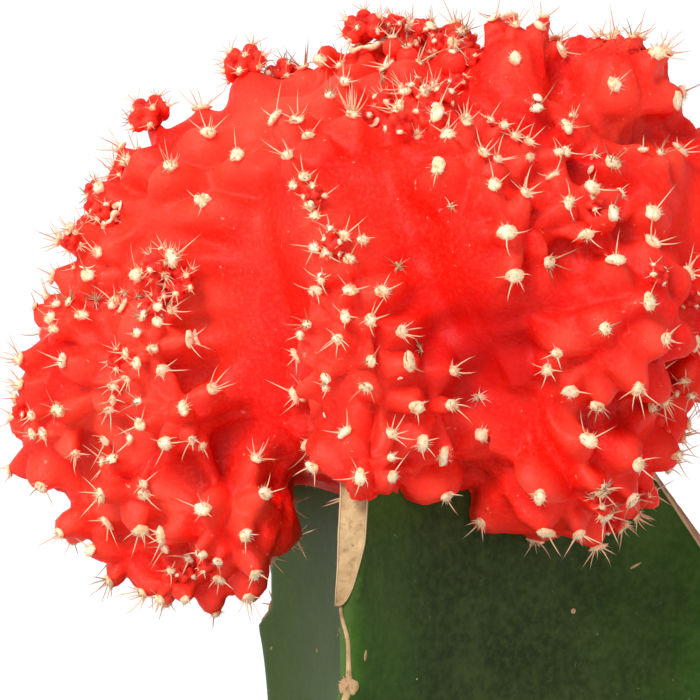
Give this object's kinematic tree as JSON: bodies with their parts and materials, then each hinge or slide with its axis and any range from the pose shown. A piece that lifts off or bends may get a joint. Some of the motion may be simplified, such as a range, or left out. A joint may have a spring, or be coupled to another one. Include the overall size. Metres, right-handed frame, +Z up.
{
  "type": "potted moon cactus",
  "caption": "Red clumping globe cactus grafted on a three-winged green stock, standing in soil in a plain round clay pot.",
  "frame": {"origin": "middle of the pot's underside, on the surface that the pot stands on", "axes": "+Z up along the stem, -Y towards the side that the picture shows, +X to that viewer's right"},
  "size_m": [0.094, 0.094, 0.1884],
  "materials": {
    "clay": "matte",
    "potting_soil": "matte",
    "green_flesh": "satin",
    "red_flesh": "satin",
    "spines": "satin",
    "wool": "matte",
    "cork": "matte"
  },
  "bodies": {
    "root": {"pot": "clay", "soil": "potting_soil", "rootstock": "green_flesh", "cactus_head": "red_flesh"}
  },
  "joints": []
}
